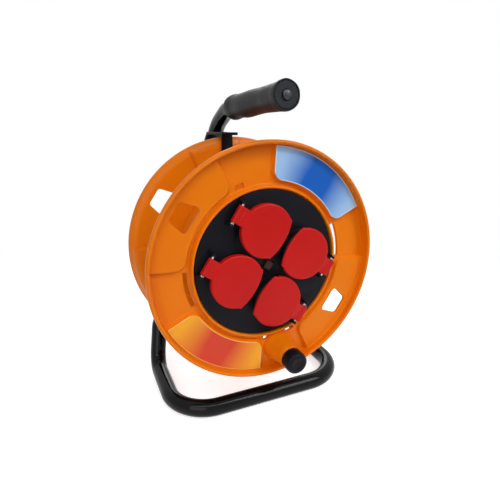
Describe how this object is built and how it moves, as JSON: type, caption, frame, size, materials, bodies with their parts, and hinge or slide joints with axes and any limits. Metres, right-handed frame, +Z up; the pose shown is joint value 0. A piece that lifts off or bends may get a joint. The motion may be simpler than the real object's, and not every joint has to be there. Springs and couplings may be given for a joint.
{
  "type": "extension cord reel",
  "caption": "Plastic cord drum with lidded mains sockets, a winding knob and a reset button, turning on a bent steel tube frame with a carrying grip.",
  "frame": {"origin": "middle of the whole reel's box, at floor level", "axes": "X to the right seen from the sockets' side, -Y out of the sockets towards the user, +Z up"},
  "size_m": [0.2398, 0.2084, 0.3233],
  "materials": {
    "orange_plastic": "glossy moulded orange",
    "black_plastic": "satin moulded black",
    "red_plastic": "semi-gloss moulded red",
    "grip_plastic": "matte dark grey grip",
    "black_paint": "glossy black powder coat on steel tube",
    "zinc_steel": "zinc-plated steel",
    "spring_steel": "bright spring steel",
    "brass": "plain brass",
    "nylon": "natural nylon",
    "rubber": "matte black rubber",
    "brown_plastic": "dark red-brown plastic",
    "blue_label": "printed label, blue gradient",
    "orange_label": "printed label, yellow to red gradient"
  },
  "bodies": {
    "frame": {"axle": "zinc_steel", "axle_clip": "spring_steel", "axle_nut": "zinc_steel", "axle_plate": "black_paint", "axle_washer": "zinc_steel", "base_loop_tube": "black_paint", "cable_clip": "black_plastic", "clip_screw": "zinc_steel", "frame_bolt_left": "zinc_steel", "frame_bolt_right": "zinc_steel", "frame_nut_left": "zinc_steel", "frame_nut_right": "zinc_steel", "grip_insert": "black_plastic", "grip_screw": "zinc_steel", "hand_grip": "grip_plastic", "leg_plug_left": "black_plastic", "leg_plug_right": "black_plastic", "upper_frame_tube": "black_paint", "upright_plug": "black_plastic"},
    "drum": {"axle_bush_front": "nylon", "axle_bush_rear": "nylon", "cable_gland": "black_plastic", "crank_spindle": "zinc_steel", "drum_barrel": "orange_plastic", "front_flange": "orange_plastic", "label_lower": "orange_label", "label_upper": "blue_label", "rear_flange": "orange_plastic", "socket_faceplate": "black_plastic", "terminal_block": "nylon", "thermal_cutout": "nylon", "live_strip": "brass", "neutral_strip": "brass", "earth_strap": "brass", "drum_screw_1": "zinc_steel", "drum_screw_2": "zinc_steel", "drum_screw_3": "zinc_steel", "drum_screw_4": "zinc_steel", "hinge_pin_1": "zinc_steel", "hinge_pin_2": "zinc_steel", "hinge_pin_3": "zinc_steel", "hinge_pin_4": "zinc_steel", "lid_spring_1": "spring_steel", "lid_spring_2": "spring_steel", "lid_spring_3": "spring_steel", "lid_spring_4": "spring_steel", "socket_well_1": "black_plastic", "socket_well_2": "black_plastic", "socket_well_3": "black_plastic", "socket_well_4": "black_plastic"},
    "knob": {"crank_knob": "black_plastic"},
    "button": {"reset_button": "brown_plastic"},
    "lid_1_body": {"lid_1": "red_plastic", "lid_gasket_1": "rubber"},
    "lid_2_body": {"lid_2": "red_plastic", "lid_gasket_2": "rubber"},
    "lid_3_body": {"lid_3": "red_plastic", "lid_gasket_3": "rubber"},
    "lid_4_body": {"lid_4": "red_plastic", "lid_gasket_4": "rubber"}
  },
  "joints": [
    {"name": "drum_spin", "type": "hinge", "parent": "frame", "child": "drum", "pos_m": [0, -0.06891, 0.155], "axis": [0, 1, 0], "continuous": true},
    {"name": "lid_1_hinge", "type": "hinge", "parent": "drum", "child": "lid_1_body", "pos_m": [-0.03408, -0.07191, 0.20993], "axis": [-0.5446, 0, -0.8387], "range_deg": [0, 100], "stiffness_Nm_per_rad": 0.012, "springref_deg": -34.38},
    {"name": "lid_2_hinge", "type": "hinge", "parent": "drum", "child": "lid_2_body", "pos_m": [0.06404, -0.07191, 0.1462], "axis": [0.5446, 0, 0.8387], "range_deg": [0, 100], "stiffness_Nm_per_rad": 0.012, "springref_deg": -34.38},
    {"name": "lid_3_hinge", "type": "hinge", "parent": "drum", "child": "lid_3_body", "pos_m": [-0.06404, -0.07191, 0.1638], "axis": [-0.5446, 0, -0.8387], "range_deg": [0, 100], "stiffness_Nm_per_rad": 0.012, "springref_deg": -34.38},
    {"name": "lid_4_hinge", "type": "hinge", "parent": "drum", "child": "lid_4_body", "pos_m": [0.03408, -0.07191, 0.10007], "axis": [0.5446, 0, 0.8387], "range_deg": [0, 100], "stiffness_Nm_per_rad": 0.012, "springref_deg": -34.38},
    {"name": "knob_spin", "type": "hinge", "parent": "drum", "child": "knob", "pos_m": [0.01576, -0.08891, 0.06081], "axis": [0, -1, 0], "continuous": true},
    {"name": "reset_press", "type": "slide", "parent": "drum", "child": "button", "axis": [0, 1, 0], "range_m": [0, 0.0025], "stiffness_N_per_m": 400, "springref_m": -0.002}
  ]
}
